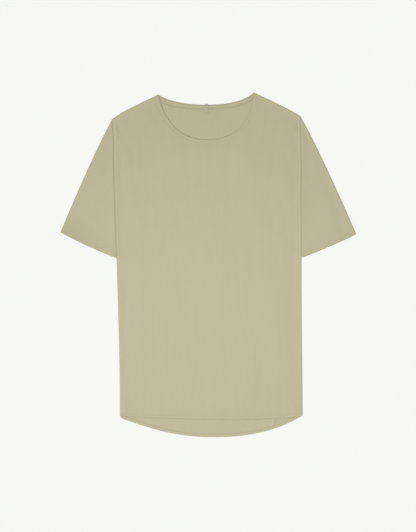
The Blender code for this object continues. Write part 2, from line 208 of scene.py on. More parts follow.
# columns: x and y where it starts, x and y where it ends, half width, height
WAVES = np.array((
    (-196, 318, -170, 120, 26, 0.9),
    (196, 322, 176, 150, 24, 1),
    (-78, 268, -120, 90, 34, 0.7),
    (84, 262, 118, 60, 36, 0.6),
    (-20, 180, 10, -40, 42, 0.5),
    (-160, 20, -150, -220, 30, 0.8),
    (158, 10, 172, -240, 28, 0.9),
    (-70, -60, -86, -300, 38, 0.6),
    (70, -90, 60, -310, 40, 0.7),
    (-262, 250, -292, 130, 20, 0.7),
    (262, 236, 290, 118, 20, 0.8),
))
# Finer creases, some of them troughs. The same columns.
CREASES = np.array((
    (-204, 300, -176, 262, 7, -0.45),
    (204, 304, 182, 258, 7, -0.5),
    (-213, 332, -208, 314, 3.4, -1.3),
    (-236, 319, -229, 306, 2.8, -1.4),
    (210, 334, 209, 321, 3.4, -1.2),
    (227, 309, 235, 290, 3, -1.4),
    (-152, 356, -128, 322, 8, 0.3),
    (150, 360, 128, 330, 8, 0.3),
    (-190, 40, -128, 92, 10, 0.4),
    (192, 44, 134, 84, 10, 0.35),
    (-40, 262, -58, 196, 12, -0.25),
    (52, 258, 74, 180, 12, -0.25),
    (-186, -120, -168, -310, 12, 0.35),
    (194, -150, 186, -318, 12, 0.3),
    (-30, -150, -22, -330, 14, 0.25),
    (112, -230, 104, -338, 9, 0.3),
    (-122, -262, -126, -344, 8, 0.3),
    (-286, 118, -250, 84, 8, 0.35),
    (284, 112, 246, 82, 8, 0.35),
))
# Puckers where the tail lies loose, one of them pulled up by its hem. The same columns.
TAIL_CREASES = np.array((
    (155, -363.5, 151, -377, 3.4, 2.3),
    (103, -371, 98, -387, 4.5, 0.8),
    (-117, -371, -112, -382, 5, 0.5),
    (20, -376, 24, -396, 7, 0.4),
))


def bump(distance, reach):
    return np.exp(-(distance / reach) ** 2)


def ridges(table, places):
    """Height that a table of waves or creases adds at each place."""
    return sum(height * bump(distance_to(np.array(((x0, y0), (x1, y1))), places, 3 * width), width)
               for x0, y0, x1, y1, width, height in table)


def top_height(places):
    """Height of the shirt's upper surface over the floor."""
    gaps = [distance_to(EDGE[name], places) for name, lift, reach in LIFTS]
    lifts = [lift * bump(gap, reach) for gap, (name, lift, reach) in zip(gaps, LIFTS)]
    lifts += [lift * bump(np.linalg.norm(places - POINTS[f"{corner}_{side}"], axis=-1), reach)
              for corner, lift, reach in CORNER_LIFTS for side in SIDES]
    lift = sum(value ** LIFT_BLEND for value in lifts) ** (1 / LIFT_BLEND)
    neck_gap = np.min(gaps[-2:], axis=0)   # the front neck's lifts are the last two
    waves = ridges(WAVES, places) * (1.0 - bump(np.min(gaps, axis=0), WAVE_FADE))
    return FLAT_HEIGHT + lift + waves - NECK_SAG[0] * bump(neck_gap, NECK_SAG[1])


print(f"height at the chest {top_height(np.array((0.0, 150.0))):.1f} mm")

# %% [markdown]
# ## Edges that stray, and edges that roll
#
# In the photo both armhole seams bend a little away from the solids' edges, and the tail's
# right corner droops. The sides, the shoulders and the sleeves' upper edges are soft folds:
# the cloth runs round them in half a circle as high as the shirt.

# %% Seams that stray, a corner that droops, and the folds
OUTWARD = {"right": -1.0, "left": 1.0}
UNDERARM_SEAM = 3.2    # the underarm seam is very short: the cuff starts beside it
UNDERARM_RISE = 2.6    # and the sleeve's side of the armhole starts this far up
# columns: edge, how far it strays in X, at which height, over what reach
STRAYS = (("armhole_right", 1.5, 289.0, 25.0), ("armhole_left", 1.2, 233.0, 45.0))
CORNER_DROOP = (3.8, 2.5, 38.0)   # how far the tail's corner hangs lower, from, to

for name, far, height, reach in STRAYS:
    EDGE[name][:, 0] += far * bump(EDGE[name][:, 1] - height, reach)

back_hem = np.vstack((EDGE["back_hem_right"], EDGE["back_hem_left"][-2::-1]))
from_corner = back_hem[:, 0] - back_hem[0, 0]
droop, starts, ends = CORNER_DROOP
back_hem[:, 1] -= droop * (1 - bump(from_corner, starts)) * bump(from_corner, ends)

sleeve_armhole = {side: line_from(EDGE[f"armhole_{side}"] + (SEAM * OUTWARD[side], 0.0),
                                  UNDERARM_RISE) for side in SIDES}
sleeve_cuff = {side: line_from(EDGE[f"cuff_{side}"], UNDERARM_SEAM) for side in SIDES}
underarm_seam = {side: np.vstack((sleeve_armhole[side][0], sleeve_cuff[side][0]))
                 for side in SIDES}
ROLLED = ([EDGE[f"{edge}_{side}"] for edge in ("side", "shoulder", "sleeve") for side in SIDES]
          + [underarm_seam[side] for side in SIDES])
print(f"{len(ROLLED)} rolled edges")

# %% [markdown]
# ## Needle rows
#
# A needle row keeps its distance from a hem's edge or a seam, so each one is an edge moved
# sideways. Only the row at the right armhole comes away from its seam near the shoulder.

# %% Needle rows, each a line and the layer whose outer face it is sewn through
HEM_STITCH = 6.0       # in from a hem's edge
NECK_STITCH = 1.7      # on the panel, out from the band's seam
# from an armhole's seam, over its lower and its upper part
ARMHOLE_STITCH = {"right": (8.0, 11.6), "left": (7.3, 7.3)}
ARMHOLE_PARTS = (0.4, 0.65)   # shares of its height where one ends and the other starts
armhole_shares = np.linspace(0.0, 1.0, EDGE_STEPS + 1)
stitch_gap = {side: OUTWARD[side] * np.interp(armhole_shares, ARMHOLE_PARTS, ARMHOLE_STITCH[side])
              for side in SIDES}
ROWS = {
    "front_hem": (beside(EDGE["front_hem"], HEM_STITCH), "front"),
    "back_hem": (beside(back_hem, HEM_STITCH), "back"),
}
for side in SIDES:
    for layer in LAYERS:
        ROWS[f"{layer}_armhole_{side}"] = (
            beside(EDGE[f"armhole_{side}"], stitch_gap[side]), layer)
        ROWS[f"{layer}_cuff_{side}"] = (
            beside(sleeve_cuff[side], OUTWARD[side] * HEM_STITCH), layer)
        ROWS[f"{layer}_neck_{side}"] = (neck_seam(layer, side, NECK_STITCH), layer)
print(f"{len(ROWS)} needle rows")

# %% [markdown]
# ## What presses the cloth in, and the painted shade
#
# Threads and seams pull the knit in. Each press is a line with a depth, a reach, and how
# much painted shade it lays on the knit, where 1 is darkest and less than 0 is painted light.
# The painted shade stands for the shade in seam ditches, along needle rows and on folded
# edges that turn from the light. Between the armhole seam and its needle row the seam
# allowance puffs the front up, with painted light on it, while the back lies on the floor and
# stays flat.

# %% Presses of each layer, and their painted shade
# columns: depth, reach, and painted shade, which stands for the shade of a ditch or of an edge
# turned from the light
SEAM_DIP_AND_SHADE = {"right": (0.5, 1.5, 0.8), "left": (0.5, 1.5, 0.5)}
BAND_SEAM_DIP_AND_SHADE = {"front": (0.15, 1.2, 0.06), "back": (0.5, 1.9, 0.6)}
STITCH_DIP_AND_SHADE = (0.18, 0.8, 0.12)
# painted shade on the shoulders', sleeves' and cuffs' folded edges, which turn from the light
FOLD_EDGE_SHADE = (0.0, 2.5, 0.15)
CUFF_EDGE_SHADE = (0.0, 1.4, 0.7)
CUFF_ROW_SHADE = (0.0, 1.0, 0.25)
# the puff really rises, and its painted light stands for the light on the ridge's flank
PUFF_AND_PAINTED_LIGHT = (-0.45, 2.4, -0.1)
PUFF_PLACE = 0.55      # share of the way from the seam to the needle row
HEM_EDGE_LIGHT = (0.0, 2.0, -0.16)    # painted light along the front hem's edge, which softens the shade line under it
UPPER_ROW_DIP_AND_SHADE = (0.15, 1.1, 0.3)    # the right armhole's needle row dips further near the shoulder, with painted shade
UPPER_ROW_FROM = 38        # from this point of its row
SLEEVE_END_SHADE = (0.0, 46.0, 0.15)   # painted shade round the right sleeve's outer end, where the light falls off
SLEEVE_END_FROM = 44   # from this point of its cuff

# each layer's presses, with the painted shade they lay on the knit
PRESSES = {layer: [(line, STITCH_DIP_AND_SHADE) for line, sewn in ROWS.values() if sewn == layer]
           for layer in LAYERS}
for side in SIDES:
    armhole = EDGE[f"armhole_{side}"]
    for layer in LAYERS:
        PRESSES[layer] += [(armhole, SEAM_DIP_AND_SHADE[side]),
                           (neck_seam(layer, side, SEAM / 2), BAND_SEAM_DIP_AND_SHADE[layer]),
                           (EDGE[f"shoulder_{side}"], FOLD_EDGE_SHADE),
                           (EDGE[f"sleeve_{side}"], FOLD_EDGE_SHADE),
                           (EDGE[f"cuff_{side}"], CUFF_EDGE_SHADE),
                           (ROWS[f"{layer}_cuff_{side}"][0], CUFF_ROW_SHADE)]
    PRESSES["front"].append((beside(armhole, stitch_gap[side] * PUFF_PLACE), PUFF_AND_PAINTED_LIGHT))
PRESSES["front"] += [(ROWS["front_armhole_right"][0][UPPER_ROW_FROM:], UPPER_ROW_DIP_AND_SHADE),
                     (EDGE["front_hem"], HEM_EDGE_LIGHT),
                     (EDGE["cuff_right"][SLEEVE_END_FROM:], SLEEVE_END_SHADE)]


def press(places, layer):
    """How far seams and needle rows press the layer in at each place, and the painted shade there.
    """
    dip, shade = np.zeros(places.shape[:-1]), np.zeros(places.shape[:-1])
    for line, (depth, reach, darker) in PRESSES[layer]:
        near = bump(distance_to(line, places, far=4 * reach), reach)
        dip += depth * near
        shade += darker * near
    return dip, shade


print("presses:", ", ".join(f"{layer} {len(PRESSES[layer])}" for layer in LAYERS))

# %% [markdown]
# ## The surface of a layer
#
# A hem is turned up inside, so its second layer lies deeper than the outer one. One
# function answers for all of it: how high a layer's outer face is, or a face at some depth
# inside it, with the bend at the rolled edges, the dips of the presses and the creases.

# %% Height of a layer's outer face, and of faces inside it
FOLD_RADIUS = 1.0      # outer radius of a turned hem or a folded band
LEAST_REACH = 0.05     # keeps the bend from dividing by nothing


def surface(places, layer, depth=0.0, clearance=None):
    """Height of a layer's outer face, or of a face that lies some depth inside it.

    A dip presses the outer face in and draws a turned layer's face out to it. A clearance
    keeps the face that far from the middle, and so front and back apart at a rolled edge.
    """
    radius = top_height(places) / 2
    press_and_painted_shade = press(places, layer)[0] * (1.0 - depth / FOLD_RADIUS)
    reach = radius - depth - press_and_painted_shade
    round_fold = np.min([distance_to(line, places) for line in ROLLED], axis=0)
    beyond = np.clip(radius - round_fold, 0.0, None)
    reach_here = np.maximum(radius - depth, LEAST_REACH)
    turn = np.sqrt(np.clip(1.0 - (beyond / reach_here) ** 2, 0.0, 1.0))
    rise = reach * turn
    if clearance is not None:
        rise = np.maximum(rise, clearance)
    if layer == "front":
        return radius + rise + ridges(CREASES, places) * turn
    return radius - rise + ridges(TAIL_CREASES, places) * turn


front_height = surface(np.array(((0.0, 150.0),)), "front")[0]
print(f"outer face of the front at the chest: {front_height:.1f} mm up")

# %% [markdown]
# ## From points to cloth
#
# A sheet of cloth is one grid of points on its outer face. Blender's Solidify modifier
# gives it a wall inwards, which is truer than modelling two faces: the wall has the same
# thickness everywhere and a cut edge all round. The fold of each hem is in the grid itself,
# so the second layer really is the same cloth coming back.
#
# A second set of numbers rides along with the points: painted shade for the seams, needle
# rows and folded edges, and a little painted light. The finish darkens the knit by it.

# %% A cloth piece from rows of points
WALL = 0.9             # jersey of 0.6 mm is drawn a little thicker, near its solid's 1 mm
SHARP_ANGLE = 50.0


def only(piece):
    """Selects one piece and nothing else."""
    bpy.ops.object.select_all(action="DESELECT")
    piece.select_set(True)
    bpy.context.view_layer.objects.active = piece


def cloth(name, grid, press_and_painted_shade, closed, wall=WALL):
    """A piece of cloth from a grid of points, rows x columns, on its outer face.

    Rows and columns run so that the faces look outwards. A closed grid joins its last
    column to its first.
    """
    rows, columns = grid.shape[:2]
    index = np.arange(rows * columns).reshape(rows, columns)
    if closed:
        index = np.hstack((index, index[:, :1]))
    quads = np.stack((index[:-1, :-1], index[:-1, 1:], index[1:, 1:], index[1:, :-1]), axis=-1)
    mesh = bpy.data.meshes.new(name)
    mesh.from_pydata((grid.reshape(-1, 3) * MM).tolist(), [], quads.reshape(-1, 4).tolist())

    # The fabric's own coordinates, in millimetres along and across the grid
    across = np.linalg.norm(np.diff(grid, axis=1, append=grid[:, :1]), axis=2).cumsum(axis=1)
    across = np.hstack((np.zeros((rows, 1)), across))
    along = np.linalg.norm(np.diff(grid, axis=0), axis=2).mean(axis=1).cumsum()
    along = np.concatenate(([0.0], along))
    uv = np.stack((across[:, :index.shape[1]],
                   np.repeat(along[:, None], index.shape[1], axis=1)), axis=-1)
    corners = np.stack((uv[:-1, :-1], uv[:-1, 1:], uv[1:, 1:], uv[1:, :-1]), axis=2)
    mesh.uv_layers.new(name="cloth").data.foreach_set("uv", corners.ravel())
    # painted shade and a little painted light, which the finish reads
    layer = mesh.attributes.new("press_and_painted_shade", "FLOAT", "POINT")
    layer.data.foreach_set("value", press_and_painted_shade.ravel())

    piece = bpy.data.objects.new(name, mesh)
    bpy.context.collection.objects.link(piece)
    only(piece)
    solidify = piece.modifiers.new("wall", "SOLIDIFY")
    solidify.thickness = wall * MM
    solidify.offset = -1.0
    bpy.ops.object.modifier_apply(modifier=solidify.name)
    bpy.ops.object.shade_smooth_by_angle(angle=math.radians(SHARP_ANGLE))
    return piece


# %% [markdown]
# ## Front and back
#
# Each body panel is one sheet from hem to neck. Its grid is stretched between four edges
# (a Coons patch), like cloth pinned round its outline. Rows and columns crowd together
# where the cloth bends: round the rolled sides and shoulders, at the turned hem, and
# along the needle rows, and are wide apart in the plain middle.

# %% Rows and columns of a body panel
ROLL_ANGLES = np.radians(range(0, 91, 15))
OPEN_STEPS = np.array((0.0, 0.3, 0.7, 1.2, 1.8, 2.6, 3.6))   # in from an edge that is sewn
NEXT_STEPS = np.array((4.8, 5.9, 6.7, 7.3, 7.9, 8.6, 9.3, 10.4))
BORDER = len(ROLL_ANGLES)
SPACING = 3.7          # between plain rows and columns
SLACK = 2.0            # least room between crowded and plain ones
HEM_TURN = 7.0         # depth of a hem's second layer
TURNED = 2 * FOLD_RADIUS
UNDERARM_SHARE = 0.53  # height of the underarm in the side edge
SHOULDER_SLANT = 0.89  # sine of the angle between the columns and the shoulder

fold_angles = np.radians(range(150, 0, -30))
INNER_HEM = [(edge, TURNED) for edge in (HEM_TURN, 6.6, 6.0, 5.4, 4.2, 2.6, FOLD_RADIUS)]
HEM_FOLD = [(FOLD_RADIUS * (1 - math.sin(a)), FOLD_RADIUS * (1 - math.cos(a)))
            for a in fold_angles]
OUTER_HEM = [(edge, 0.0) for edge in (FOLD_RADIUS, 2.2, 3.6, 4.6, 5.2, 5.7, 6.0, 6.3, 6.8,
                                      7.6, 9.0, 11.5)]
HEM_PLAN = INNER_HEM + HEM_FOLD + OUTER_HEM
print(f"{len(HEM_PLAN)} rows for a turned hem")


# %% A grid stretched between four edges
def coons(u, v, first, last, bottom, top):
    """Points inside four edges, each a function of its own share."""
    u2, v2 = u[..., None], v[..., None]
    none, whole = np.zeros(1), np.ones(1)
    between = ((1 - v2) * bottom(u) + v2 * top(u) + (1 - u2) * first(v) + u2 * last(v))
    corners = ((1 - u2) * (1 - v2) * bottom(none) + u2 * (1 - v2) * bottom(whole)
               + (1 - u2) * v2 * top(none) + u2 * v2 * top(whole))
    return between - corners


def by_x(line):
    """A line as a function of the share of its reach in X."""
    def at(share):
        x = line[0, 0] + share * (line[-1, 0] - line[0, 0])
        return np.stack((x, np.interp(x, line[:, 0], line[:, 1])), axis=-1)
    return at


def body_side(side):
    """The long edge of the body, hem to shoulder, with the underarm at its own share."""
    seam, armhole = EDGE[f"side_{side}"], EDGE[f"armhole_{side}"]
    share = np.concatenate((np.linspace(0.0, UNDERARM_SHARE, len(seam)),
                            np.linspace(UNDERARM_SHARE, 1.0, len(armhole))[1:]))
    line = np.vstack((seam, armhole[1:]))
    y = np.concatenate((np.linspace(seam[0, 1], seam[-1, 1], len(seam)),
                        np.linspace(armhole[0, 1], armhole[-1, 1], len(armhole))[1:]))

    def at(part):
        height = np.interp(part, share, y)
        return np.stack((np.interp(height, line[:, 1], line[:, 0]), height), axis=-1)
    return at


print(f"the underarm is {UNDERARM_SHARE:.0%} of the way up a side edge")


# %% Two body panels
def panel_top(layer):
    """The panel's upper edge, and its columns: share across, and whether it rolls there."""
    halves = []
    for side in SIDES:
        seam = neck_seam(layer, side, SEAM)
        shoulder = EDGE[f"shoulder_{side}"]
        reached = length_along(shoulder)
        shoulder = shoulder[reached < reached[-1] - BAND_AT_SHOULDER - SEAM]
        halves.append(np.vstack((shoulder, seam)))
    line = np.vstack((halves[0], halves[1][-2::-1]))
    starts = [neck_seam(layer, side, SEAM)[0, 0] for side in SIDES]
    reached = length_along(line)
    count = int(reached[-1] / SPACING)
    x = np.interp(np.linspace(0.0, reached[-1], count), reached, line[:, 0])
    margin = NEXT_STEPS[-1] + SLACK
    x = x[(x > line[0, 0] + margin) & (x < line[-1, 0] - margin)]
    x = np.sort(np.concatenate((x, starts)))
    shares = (x - line[0, 0]) / (line[-1, 0] - line[0, 0])
    rolled = (x <= starts[0]) | (x >= starts[1])
    edge_count = BORDER + len(NEXT_STEPS)
    shares = np.concatenate((np.zeros(edge_count), shares, np.ones(edge_count)))
    rolled = np.concatenate((np.ones(edge_count, bool), rolled, np.ones(edge_count, bool)))
    return by_x(line), shares, rolled


def roll_steps(places, depth):
    """How far in from a rolled edge each grid line lies, for each place on the edge."""
    radius = top_height(places)[..., None] / 2
    return radius - (radius - depth) * np.cos(ROLL_ANGLES)


def panel(name, layer, hem):
    """A body panel: its grid from the inner end of its hem to the neck, and the presses."""
    first, last, bottom = body_side("right"), body_side("left"), by_x(hem)
    top, base, rolled = panel_top(layer)
    tall = top(base)[:, 1] - bottom(base)[:, 1]
    top_steps = np.where(rolled[:, None], roll_steps(top(base), 0.0) / SHOULDER_SLANT, OPEN_STEPS)
    count = int(tall.max() / SPACING)
    plan = [(edge / tall, depth) for edge, depth in HEM_PLAN]
    low, high = (HEM_PLAN[-1][0] + SPACING) / tall, 1 - (NEXT_STEPS[-1] + SPACING) / tall
    plan += [(low + share * (high - low), 0.0) for share in np.linspace(0.0, 1.0, count)]
    plan += [(1 - step / tall, 0.0) for step in NEXT_STEPS[::-1]]
    plan += [(1 - top_steps[:, k] / tall, 0.0) for k in range(BORDER)[::-1]]

    near = np.arange(BORDER + len(NEXT_STEPS))
    grid, press_and_painted_shade = [], []
    for v, depth in plan:
        u = base.copy()
        wide = last(v)[:, 0] - first(v)[:, 0]
        for edge, ends in ((first, near), (last, len(base) - 1 - near)):
            closed = (v[ends] <= UNDERARM_SHARE)[:BORDER]
            rolls = roll_steps(edge(v[ends[:BORDER]]), depth)[np.arange(BORDER), np.arange(BORDER)]
            steps = np.concatenate((np.where(closed, rolls, OPEN_STEPS), NEXT_STEPS))
            u[ends] = np.abs((0.0 if edge is first else 1.0) - steps / wide[ends])
        places = coons(u, v, first, last, bottom, top)
        z = surface(places, layer, depth, clearance=SEAM / 2)
        grid.append(np.column_stack((places, z)))
        # the painted shade at these places
        press_and_painted_shade.append(press(places, layer)[1])
    grid, press_and_painted_shade = np.array(grid), np.array(press_and_painted_shade)
    if layer == "front":
        piece = cloth(name, grid, press_and_painted_shade, False)
    else:
        piece = cloth(name, grid[:, ::-1], press_and_painted_shade[:, ::-1], False)
    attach(piece, "root")
    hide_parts(layer)
    return piece


front = panel("front_panel", "front", EDGE["front_hem"])
back = panel("back_panel", "back", back_hem)

# %% [markdown]
# ## Sleeves
#
# A sleeve is one piece of cloth folded along its upper edge, so it is made as a flat tube:
# rings run from the armhole to the cuff, round the upper layer, over the fold, and back
# under. The underarm seam is only a few millimetres long, so near it the rings bunch up
# and every distance shrinks with the cloth that is left.

# %% Two sleeves
RING_SPACING = 4.0
CUFF_PLAN = HEM_PLAN[::-1]
SHORT = OPEN_STEPS[-1] + OUTER_HEM[-1][0] + SLACK   # where it is shorter, the rings bunch up


def sleeve(side):
    """A sleeve: its grid from the armhole to the inner end of the turned cuff."""
    armhole, cuff = sleeve_armhole[side], sleeve_cuff[side]
    fold = EDGE[f"sleeve_{side}"].copy()
    fold[0] = armhole[-1]
    edges = [lambda share, line=line: at_share(line, share)
             for line in (armhole, cuff, underarm_seam[side], fold)]
    longest = length_along(armhole)[-1]
    middle = np.linspace(0.0, 1.0, int(longest / RING_SPACING))[1:-1]
    rings = int(length_along(fold)[-1] / RING_SPACING)
    plan = [("arm", step, 0.0) for step in OPEN_STEPS]
    plan += [("plain", share, 0.0) for share in np.linspace(0.0, 1.0, rings)[1:-1]]
    plan += [("cuff", edge, depth) for edge, depth in CUFF_PLAN]

    grid, press_and_painted_shade = [], []
    for kind, amount, depth in plan:
        nominal = {"arm": 0.0, "plain": amount, "cuff": 1.0}[kind]
        low, high = edges[2](nominal), edges[3](nominal)
        length = np.linalg.norm(high - low)
        inset = [roll_steps(end, depth) / length for end in (low, high)]
        v = np.concatenate((inset[0], inset[0][-1] + middle * (1 - inset[0][-1] - inset[1][-1]),
                            1 - inset[1][::-1]))
        reach = np.linalg.norm(edges[1](v) - edges[0](v), axis=1)
        scale = np.minimum(1.0, reach / SHORT) / reach
        arm_end, cuff_start = OPEN_STEPS[-1] * scale, 1 - OUTER_HEM[-1][0] * scale
        u = {"arm": amount * scale, "plain": arm_end + amount * (cuff_start - arm_end),
             "cuff": 1 - amount * scale}[kind]
        places = coons(u, v, *edges)
        layers = []
        for layer in LAYERS:
            z = surface(places, layer, depth)
            z[[0, -1]] = top_height(places[[0, -1]]) / 2
            layers.append(np.column_stack((places, z)))
        grid.append(np.vstack((layers[0], layers[1][-2:0:-1])))
        # the painted shade of both layers of the sleeve
        press_and_painted_shade.append(np.concatenate((press(places, "front")[1],
                                       press(places, "back")[1][-2:0:-1])))
    grid, press_and_painted_shade = np.array(grid), np.array(press_and_painted_shade)
    if side == "left":
        grid, press_and_painted_shade = grid[:, ::-1], press_and_painted_shade[:, ::-1]
    piece = cloth(f"sleeve_{side}_cloth", grid, press_and_painted_shade, True)
    across_fold = distance_to(fold[[0, -1]], armhole[0], far=longest)
    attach(piece, "root")
    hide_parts(f"sleeve_{side}")
    return piece


sleeves = [sleeve(side) for side in SIDES]

# %% [markdown]
# ## Neck band
#
# The band is a strip folded double, with the fold at the neck's edge and both raw edges in
# the seam. Its stations go round the ring: along the front neck, over one shoulder's fold,
# along the back neck and over the other. Each station is the strip's section, from the
# seam, over the fold, and back to the seam on the inside.

# %% The band as a folded ring
BAND_SPACING = 3.0
BAND_SHARES = (1.0, 0.95, 0.86, 0.74, 0.6, 0.45, 0.3, 0.15, 0.05, 0.0)   # seam to fold
BAND_THIN = 0.75       # the band is pressed flatter than a turned hem
BAND_PLAIN = 4.0       # sections are evenly spaced from here, past a shoulder's fold
# Painted shade along the band's fold, where it turns from the light: how much darker, and how far
# in
BAND_FOLD_SHADE = {"front": (0.12, 1.4), "back": (0.55, 1.8)}
# columns: share of the width from the fold, distance from the fold if it is fixed, depth
BAND_PLAN = [(share, None, 0.0) for share in BAND_SHARES]
BAND_PLAN += [(0.0, edge * BAND_THIN, depth * BAND_THIN) for edge, depth in HEM_FOLD[::-1]]
BAND_PLAN += [(share, None, TURNED * BAND_THIN) for share in BAND_SHARES[::-1]]


def band_places(layer, side):
    """Places of the strip's sections, from a shoulder's fold to the middle of the neck."""
    neck, seam = EDGE[f"{layer}_neck_{side}"], neck_seam(layer, side, 0.0)
    length = length_along(neck)[-1]
    plain = np.linspace(BAND_PLAIN / length, 1.0, int(length / BAND_SPACING))
    columns = []
    for part, edge, depth in BAND_PLAN:
        at = np.concatenate((roll_steps(neck[0], depth) / length, plain))
        free = at_share(neck, at)
        across = at_share(seam, at) - free
        width = np.linalg.norm(across, axis=1)
        inward = FOLD_RADIUS + part * (width - FOLD_RADIUS) if edge is None else edge
        columns.append(free + across * (inward / width)[:, None])
    return np.array(columns)


def band_half(layer, side):
    """The strip's outer face in one quarter of the ring, and its painted shade there."""
    places = band_places(layer, side)
    z = np.array([surface(row, layer, part[2]) for row, part in zip(places, BAND_PLAN)])
    z[:, 0] = top_height(places[:, 0]) / 2
    in_from_fold = distance_to(EDGE[f"{layer}_neck_{side}"], places)
    darker, reach = BAND_FOLD_SHADE[layer]
    # painted shade along the fold, darkest a little in from it
    band_fold_shade = darker * bump(in_from_fold - reach, reach)
    return np.concatenate((places, z[..., None]), axis=2), press(places, layer)[1] + band_fold_shade


half = {(layer, side): band_half(layer, side) for layer in LAYERS for side in SIDES}
for side in SIDES:
    front_half, back_half = half["front", side][0], half["back", side][0]
    front_half[:, 0] = back_half[:, 0] = (front_half[:, 0] + back_half[:, 0]) / 2
ring = [np.hstack((half["front", "right"][k], half["front", "left"][k][:, -2::-1],
                   half["back", "left"][k][:, 1:], half["back", "right"][k][:, -2:0:-1]))
        for k in (0, 1)]
band_grid, band_painted_shade = ring
neck_band = cloth("neck_band_cloth", band_grid, band_painted_shade, True, WALL * BAND_THIN)
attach(neck_band, "root")
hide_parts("neck_band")

# %% [markdown]
# ## Hanging loop
#
# At the middle of the back neck a short tape is folded double and caught in the seam, to
# hang the shirt by. It starts as a flat grid of its real size. Its rows are then bent
# down where it leaves the band, its edges are rounded like a woven selvedge, and Solidify
# gives it the thickness of two layers of tape.

# %% The loop, from a grid
LOOP_GRID = (12, 40)
LOOP_WIDTH = 8.6
LOOP_CENTRE = -4.7
LOOP_ABOVE_NECK = 1.8
LOOP_LENGTH = 24.0
LOOP_WALL = 0.75
LOOP_LIFT = 0.12       # air under the tape
LOOP_BOW = 0.2         # how far its middle stands up
SELVEDGE = (0.16, 0.42, 0.05)   # a thicker edge: height, and where and reach in widths
ROUNDED = (0.5, 0.5, 0.03)      # the edge's outer side goes down, in the same columns
LOOP_BEVEL = 0.18
LOOP_BEND = (1.0, 4.5)  # where it steps down, from the band's lower edge
LOOP_TOP_SHADE = (0.6, 3.4, 1.5)   # painted shade where the tape bends over the band: how much darker, where, reach
loop_top = POINTS["neck_back"][1] + LOOP_ABOVE_NECK
bend_top, bend_end = (POINTS["neck_back"][1] - BAND_AT_BACK - step for step in LOOP_BEND)

bpy.ops.object.select_all(action="DESELECT")
bpy.ops.mesh.primitive_grid_add(x_subdivisions=LOOP_GRID[0], y_subdivisions=LOOP_GRID[1],
                                size=1.0)
loop = bpy.context.object
loop.name = loop.data.name = "hanging_loop_tape"
loop_shade = loop.data.attributes.new("press_and_painted_shade", "FLOAT", "POINT").data
darker, middle, reach = LOOP_TOP_SHADE
for vertex in loop.data.vertices:
    across, down = vertex.co.x, 0.5 - vertex.co.y
    y = loop_top - down * LOOP_LENGTH
    step = min(max((bend_top - y) / (bend_top - bend_end), 0.0), 1.0)
    bend = step * step * (3 - 2 * step)
    carried = TURNED * BAND_THIN * (1 - bend) + WALL * bend
    bow = LOOP_BOW * math.sin(math.pi * down) ** 2
    selvedge, rounded = (height * bump(abs(across) - place, width)
                         for height, place, width in (SELVEDGE, ROUNDED))
    z = carried + LOOP_LIFT + LOOP_WALL + bow + selvedge - rounded
    vertex.co = Vector((LOOP_CENTRE + across * LOOP_WIDTH, y, z)) * MM
    # painted shade at the tape's top, where it bends away from the light
    loop_shade[vertex.index].value = darker * bump(loop_top - y - middle, reach)
only(loop)
wall = loop.modifiers.new("tape", "SOLIDIFY")
wall.thickness = LOOP_WALL * MM
wall.offset = -1.0
bpy.ops.object.modifier_apply(modifier=wall.name)
edge = loop.modifiers.new("edge", "BEVEL")
edge.width = LOOP_BEVEL * MM
edge.segments = 2
edge.limit_method = "ANGLE"
bpy.ops.object.modifier_apply(modifier=edge.name)
bpy.ops.object.shade_smooth_by_angle(angle=math.radians(SHARP_ANGLE))
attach(loop, "root")
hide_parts("hanging_loop")
print(f"loop {LOOP_WIDTH} x {LOOP_LENGTH} mm, {len(loop.data.polygons)} faces")

# %% [markdown]
# ## Stitches
#
# Thread is the one thing on the shirt that isn't cloth. A needle row is hundreds of equal
# stitches, so one stitch is modelled, a small sphere drawn out and pressed flat, and then
# copied along each row into one joined mesh. Each copy turns with its row, sinks a little
# into the knit, and follows the same surface as the cloth below it.

# %% One stitch, and rows of it
STITCH_PITCH = 3.0
STITCH_LENGTH = 2.3
THREAD = 0.42          # thread diameter
THREAD_FLAT = 0.8      # its height as a share of its width
SUNK = 0.04            # how deep a stitch's middle lies under the outer face
AHEAD = 0.2            # how far to either side a stitch looks for its row's direction
# how far from each end of its line a row stops
ROW_ENDS = {"hem": (5.0, 5.0), "cuff": (5.0, 4.0), "armhole": (4.0, 6.0), "neck": (3.0, 0.0)}

bpy.ops.object.select_all(action="DESELECT")
bpy.ops.mesh.primitive_uv_sphere_add(segments=8, ring_count=5, radius=0.5)
pattern = bpy.context.object
bpy.ops.object.mode_set(mode="EDIT")
bpy.ops.mesh.select_all(action="SELECT")
bpy.ops.transform.rotate(value=math.pi / 2, orient_axis="Y", center_override=(0.0, 0.0, 0.0))
bpy.ops.transform.resize(value=(STITCH_LENGTH, THREAD, THREAD * THREAD_FLAT))
bpy.ops.object.mode_set(mode="OBJECT")
stitch_points = np.array([vertex.co for vertex in pattern.data.vertices])
stitch_faces = [list(face.vertices) for face in pattern.data.polygons]
bpy.data.objects.remove(pattern, do_unlink=True)
print(f"one stitch: {len(stitch_faces)} faces")


def trimmed(line, start, end):
    """A line without a stretch at each end."""
    return line_from(line_from(line, start)[::-1], end)[::-1]


